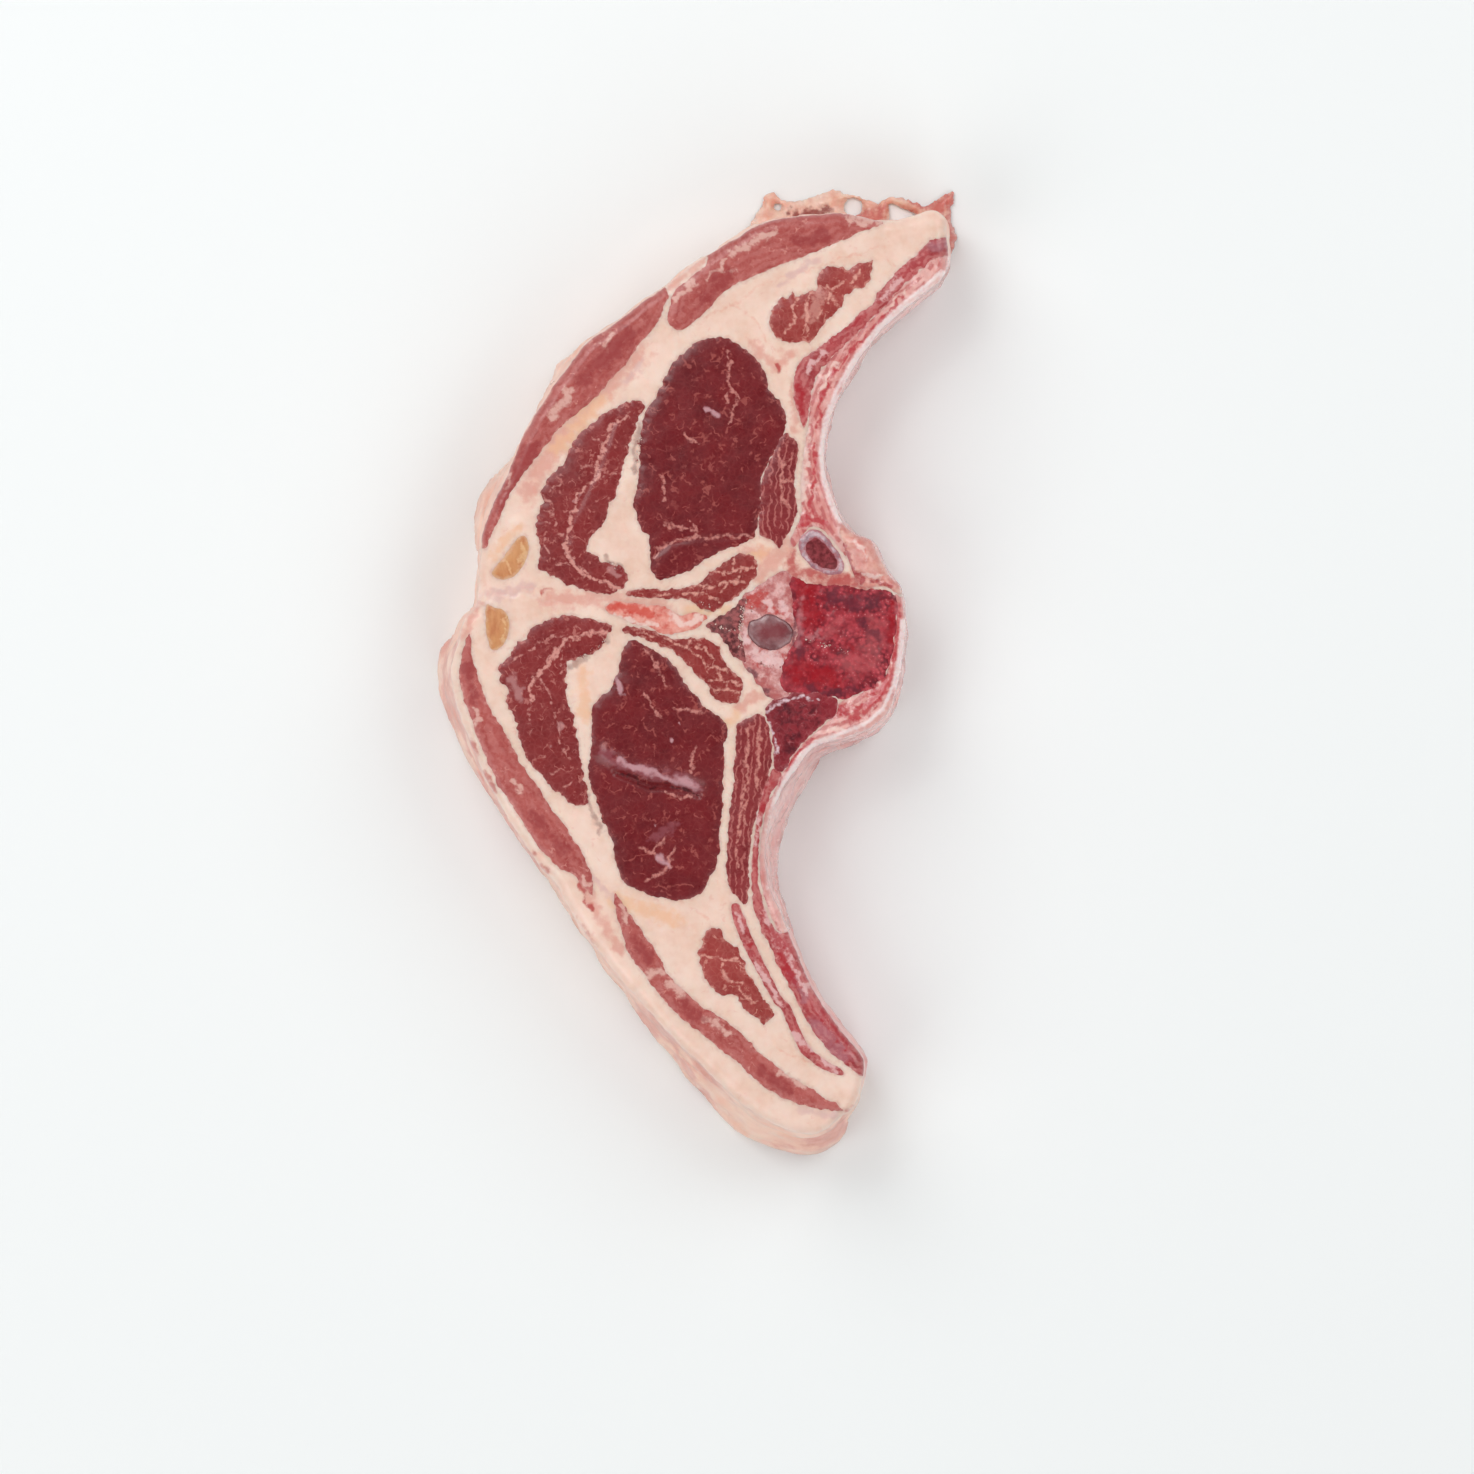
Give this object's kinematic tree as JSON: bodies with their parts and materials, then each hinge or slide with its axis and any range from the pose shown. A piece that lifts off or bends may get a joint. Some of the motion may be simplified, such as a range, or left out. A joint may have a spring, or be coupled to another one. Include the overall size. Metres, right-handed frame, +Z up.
{
  "type": "raw lamb chop",
  "caption": "Raw double lamb rib chop: a slice across the whole back with eye and cap muscles, fat, backbone and thin flanks, lying flat.",
  "frame": {"origin": "centre of the box round the chop, at its underside", "axes": "+Z up out of the upper cut face, +Y along the chop towards the left flank's tip, +X from the back fat towards the belly cavity"},
  "size_m": [0.0854, 0.1596, 0.0204],
  "materials": {
    "fat": "moist cream fat",
    "lean_dark": "moist dark red lean meat, marbled",
    "lean_light": "moist lighter red lean meat, streaked",
    "marrow": "wet red cut bone and marrow",
    "rib_bone": "wet grey-white cut bone",
    "gristle": "wet pink gristle and fat",
    "lining": "wet pink lining over fat",
    "ligament": "tan elastic ligament",
    "cord": "grey-mauve nerve tissue"
  },
  "bodies": {
    "root": {"fat_body": "fat", "spinal_cord": "cord", "rib_head": "rib_bone", "backbone": "marrow", "gristle_knob": "gristle", "ligament_left": "ligament", "ligament_right": "ligament", "eye_muscle_left": "lean_dark", "eye_muscle_right": "lean_dark", "cap_muscle_left": "lean_dark", "cap_muscle_right": "lean_dark", "spine_muscle_left": "lean_light", "spine_muscle_right": "lean_light", "rib_muscle_left": "lean_light", "rib_muscle_right": "lean_light", "inner_muscle_right": "lean_dark", "belly_muscle_left": "lean_light", "belly_muscle_right": "lean_light", "back_band_left": "lean_light", "back_band_right": "lean_light", "flank_band_left": "lean_light", "flank_band_right": "lean_light", "inner_band_left": "lean_light", "inner_strip_right": "lean_light", "inner_band_right": "lean_light", "lining_left": "lining", "lining_right": "lining"}
  },
  "joints": []
}
